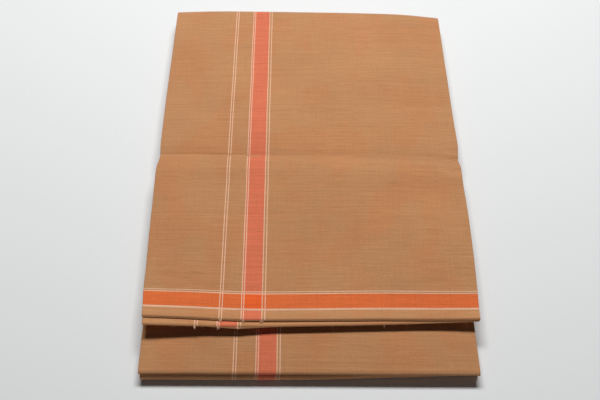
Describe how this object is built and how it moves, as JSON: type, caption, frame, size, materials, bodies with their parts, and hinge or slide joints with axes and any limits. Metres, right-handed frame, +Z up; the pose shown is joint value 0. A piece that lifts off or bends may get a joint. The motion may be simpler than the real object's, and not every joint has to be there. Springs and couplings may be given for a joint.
{
  "type": "folded dhoti cloth",
  "caption": "Cotton dhoti cloth with woven border stripes, folded into a flat many-layered bundle that lies on a table.",
  "frame": {"origin": "middle of the bundle's footprint, on the surface that it lies on", "axes": "+X across the folded ribbon, with the border stripe on the -X side of the top; +Y from the near folds and cut ends to the far fold; +Z up"},
  "size_m": [0.3174, 0.4801, 0.0333],
  "materials": {
    "cotton_face": "plain-woven starched cotton, matt, with fine slubs; orange border stripe between thin off-white lines",
    "cotton_edges": "edges of many folded layers of the same cotton, matt"
  },
  "bodies": {
    "root": {"top_stretch": "cotton_face", "second_stretch": "cotton_face", "front_stretch": "cotton_face", "bottom_stretch": "cotton_face", "folded_layers": "cotton_edges"}
  },
  "joints": []
}
